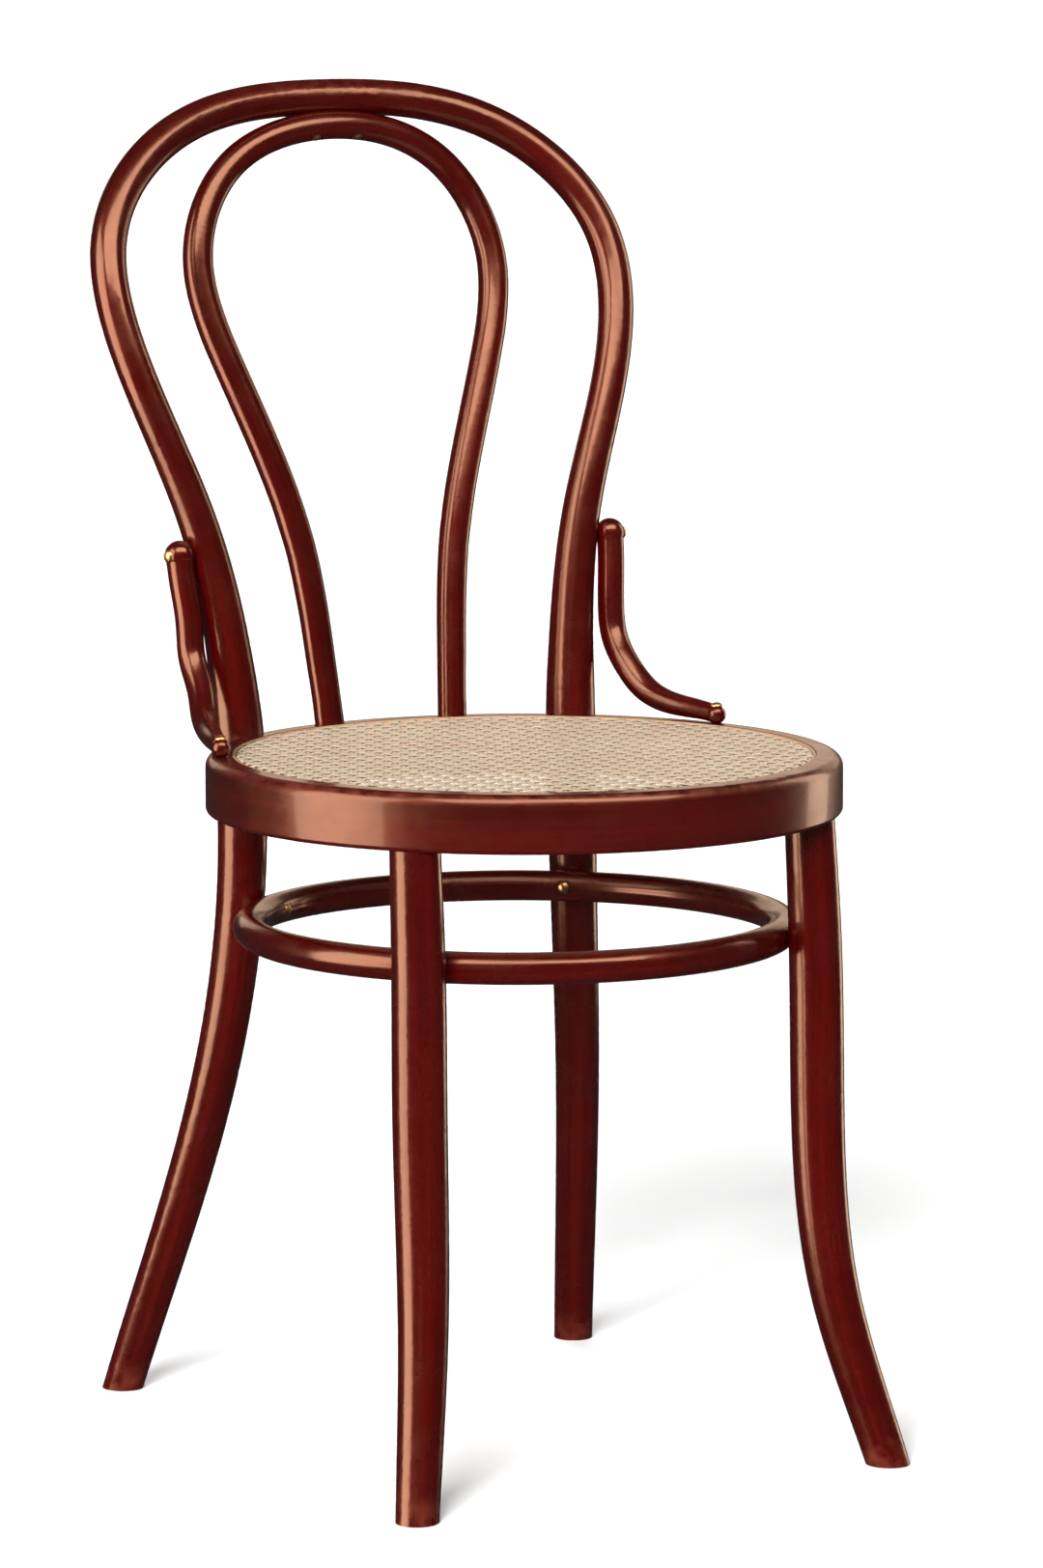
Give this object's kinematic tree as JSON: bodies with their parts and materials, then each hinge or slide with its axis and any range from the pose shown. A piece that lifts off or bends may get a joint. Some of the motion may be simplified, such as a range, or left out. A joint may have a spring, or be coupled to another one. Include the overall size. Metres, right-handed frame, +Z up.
{
  "type": "bentwood side chair",
  "caption": "Side chair of bent round rods with a looped back, a round caned seat, splayed legs and a stretcher hoop under the seat.",
  "frame": {"origin": "on the floor under the middle of the chair's bounding box", "axes": "+Z up; the sitter faces -Y, so the back is towards +Y; left and right are as seen from the front, left is -X"},
  "size_m": [0.42, 0.5114, 0.892],
  "materials": {
    "beech": "stained dark mahogany red, glossy lacquer",
    "cane": "natural woven cane, satin",
    "reed": "natural reed, satin",
    "brass": "worn, satin",
    "steel": "dull, zinc plated"
  },
  "bodies": {
    "root": {"back_bow": "beech", "bracket_foot_screw_left": "brass", "bracket_foot_screw_right": "brass", "bracket_top_screw_left": "brass", "bracket_top_screw_right": "brass", "cane_spline": "reed", "crown_screw_left": "brass", "crown_screw_right": "brass", "foot_screw_left": "brass", "foot_screw_right": "brass", "front_leg_left": "beech", "front_leg_right": "beech", "hoop_screw_front_left": "brass", "hoop_screw_front_right": "brass", "hoop_screw_rear_left": "brass", "hoop_screw_rear_right": "brass", "inner_bow": "beech", "seat_bolt_left": "steel", "seat_bolt_right": "steel", "seat_cane": "cane", "seat_nut_left": "steel", "seat_nut_right": "steel", "seat_ring": "beech", "seat_washer_left": "steel", "seat_washer_right": "steel", "side_bracket_left": "beech", "side_bracket_right": "beech", "stretcher_hoop": "beech"}
  },
  "joints": []
}
